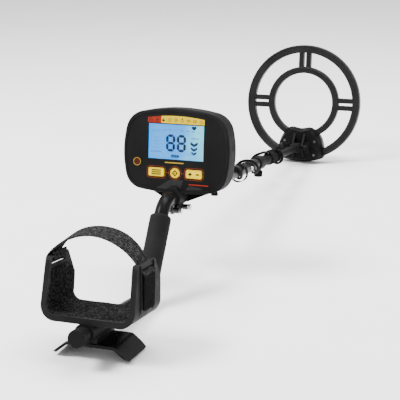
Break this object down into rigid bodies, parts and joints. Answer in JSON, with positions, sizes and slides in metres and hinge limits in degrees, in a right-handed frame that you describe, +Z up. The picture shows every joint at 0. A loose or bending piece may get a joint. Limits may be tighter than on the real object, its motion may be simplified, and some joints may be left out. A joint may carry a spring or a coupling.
{
  "type": "metal detector",
  "caption": "Hand-held metal detector with a round open search coil folded up, telescopic shaft, display box, foam grip, arm cuff with strap and foot.",
  "frame": {"origin": "middle of the floor rectangle under the object", "axes": "+X to the user's right, +Y forward along the shaft towards the coil, +Z up from the floor"},
  "size_m": [0.255, 1.2206, 0.2718],
  "materials": {
    "tube_black": "gloss black powder coat",
    "shaft_metal": "black anodised",
    "rod_black": "smooth glass-filled nylon",
    "foam_black": "closed-cell foam with a fine skin",
    "shell_black": "fine spark-eroded texture",
    "panel_dark": "satin printed overlay",
    "lcd_glass": "clear polished window",
    "lcd_light": "backlit display",
    "key_yellow": "printed key",
    "key_power": "dark red key with a yellow ring",
    "keypad_rubber": "silicone",
    "board_green": "solder resist",
    "copper": "enamelled copper",
    "battery_jacket": "printed jacket, no marks",
    "steel": "zinc plated",
    "coil_black": "moulded ABS",
    "cable_rubber": "smooth jacket",
    "fabric_black": "hook-and-loop tape",
    "pad_fuzzy": "looped pile",
    "rubber_black": "moulded"
  },
  "bodies": {
    "upper_shaft": {"s_tube": "tube_black", "end_cap": "rubber_black", "grip_sleeve": "foam_black", "clamp_collar": "shell_black", "arm_cuff": "shell_black", "cuff_pad": "pad_fuzzy", "cuff_mount": "shell_black", "cuff_strap": "fabric_black", "foot_stand": "shell_black", "cuff_bolts": "steel", "cuff_nuts": "steel", "front_cover": "shell_black", "face_panel": "panel_dark", "lcd_window": "lcd_glass", "lcd_module": "lcd_light", "keypad_mat": "keypad_rubber", "rear_shell": "shell_black", "case_screws": "steel", "circuit_board": "board_green", "speaker": "shell_black", "battery_tray": "shell_black", "batteries": "battery_jacket", "battery_snaps": "steel", "headphone_jack": "shell_black", "coil_socket": "shell_black", "cable_plug": "shell_black", "box_bracket": "shell_black", "clamp_bands": "steel", "clamp_bolts": "steel", "clamp_nuts": "steel", "cable_upper": "cable_rubber", "rear_tie": "fabric_black"},
    "middle_shaft": {"middle_tube": "shaft_metal", "guide_bush": "rod_black", "front_tie": "fabric_black", "cable_middle": "cable_rubber"},
    "snap_button": {"snap_clip": "steel"},
    "lock_knob": {"lock_knob": "shell_black"},
    "twist_lock": {"twist_lock": "shell_black"},
    "lower_shaft": {"lower_rod": "rod_black", "rod_end_plug": "rod_black", "rod_knuckle": "rod_black", "cable_lower": "cable_rubber"},
    "coil": {"coil_upper_shell": "coil_black", "coil_lower_shell": "coil_black", "transmit_winding": "copper", "receive_winding": "copper", "coil_housing": "coil_black", "housing_screws": "steel", "coil_bolt": "shell_black", "friction_washers": "rubber_black", "cable_gland": "cable_rubber", "cable_coil": "cable_rubber"},
    "wing_nut": {"wing_nut": "shell_black"},
    "power_button": {"power_button": "key_power"},
    "menu_button": {"menu_button": "key_yellow"},
    "pinpoint_button": {"pinpoint_button": "key_yellow"},
    "plus_minus_button": {"plus_minus_button": "key_yellow"},
    "battery_door": {"battery_door": "shell_black"},
    "plug_ring": {"plug_ring": "shell_black"}
  },
  "joints": [
    {"name": "middle_slide", "type": "slide", "parent": "upper_shaft", "child": "middle_shaft", "axis": [0, 0.9922, -0.1245], "range_m": [-0.038, 0], "deforming": ["cable_middle", "snap_clip"]},
    {"name": "lower_slide", "type": "slide", "parent": "middle_shaft", "child": "lower_shaft", "axis": [0, 0.9922, -0.1245], "range_m": [-0.08, 0], "deforming": ["cable_lower"]},
    {"name": "coil_tilt", "type": "hinge", "parent": "lower_shaft", "child": "coil", "pos_m": [0, 0.53503, 0.03976], "axis": [1, 0, 0], "range_deg": [-90, 75], "deforming": ["cable_coil"]},
    {"name": "wing_nut_turn", "type": "hinge", "parent": "coil", "child": "wing_nut", "pos_m": [0, 0.53503, 0.03976], "axis": [1, 0, 0], "continuous": true},
    {"name": "lock_knob_turn", "type": "hinge", "parent": "upper_shaft", "child": "lock_knob", "pos_m": [0, 0.22198, 0.05888], "axis": [0, 0.1245, 0.9922], "continuous": true},
    {"name": "twist_lock_turn", "type": "hinge", "parent": "middle_shaft", "child": "twist_lock", "pos_m": [0, 0.35048, 0.06291], "axis": [0, 0.9922, -0.1245], "range_deg": [0, 90]},
    {"name": "snap_button_press", "type": "slide", "parent": "middle_shaft", "child": "snap_button", "axis": [-1, 0, 0], "range_m": [0, 0.0038], "stiffness_N_per_m": 500, "springref_m": -0.004, "deforming": ["snap_clip"]},
    {"name": "power_press", "type": "slide", "parent": "upper_shaft", "child": "power_button", "axis": [0, 0.9922, -0.1245], "range_m": [0, 0.0008], "stiffness_N_per_m": 300, "springref_m": -0.002},
    {"name": "menu_press", "type": "slide", "parent": "upper_shaft", "child": "menu_button", "axis": [0, 0.9922, -0.1245], "range_m": [0, 0.0008], "stiffness_N_per_m": 300, "springref_m": -0.002},
    {"name": "pinpoint_press", "type": "slide", "parent": "upper_shaft", "child": "pinpoint_button", "axis": [0, 0.9922, -0.1245], "range_m": [0, 0.0008], "stiffness_N_per_m": 300, "springref_m": -0.002},
    {"name": "plus_minus_rock", "type": "hinge", "parent": "upper_shaft", "child": "plus_minus_button", "pos_m": [0.0308, -0.23594, 0.17256], "axis": [0, 0.1245, 0.9922], "range_deg": [-1.5, 1.5], "stiffness_Nm_per_rad": 0.05},
    {"name": "battery_door_hinge", "type": "hinge", "parent": "upper_shaft", "child": "battery_door", "pos_m": [0, -0.18354, 0.1935], "axis": [-1, 0, 0], "range_deg": [0, 100]},
    {"name": "plug_ring_turn", "type": "hinge", "parent": "upper_shaft", "child": "plug_ring", "pos_m": [-0.032, -0.17873, 0.16659], "axis": [0, 0.9922, -0.1245], "continuous": true}
  ]
}
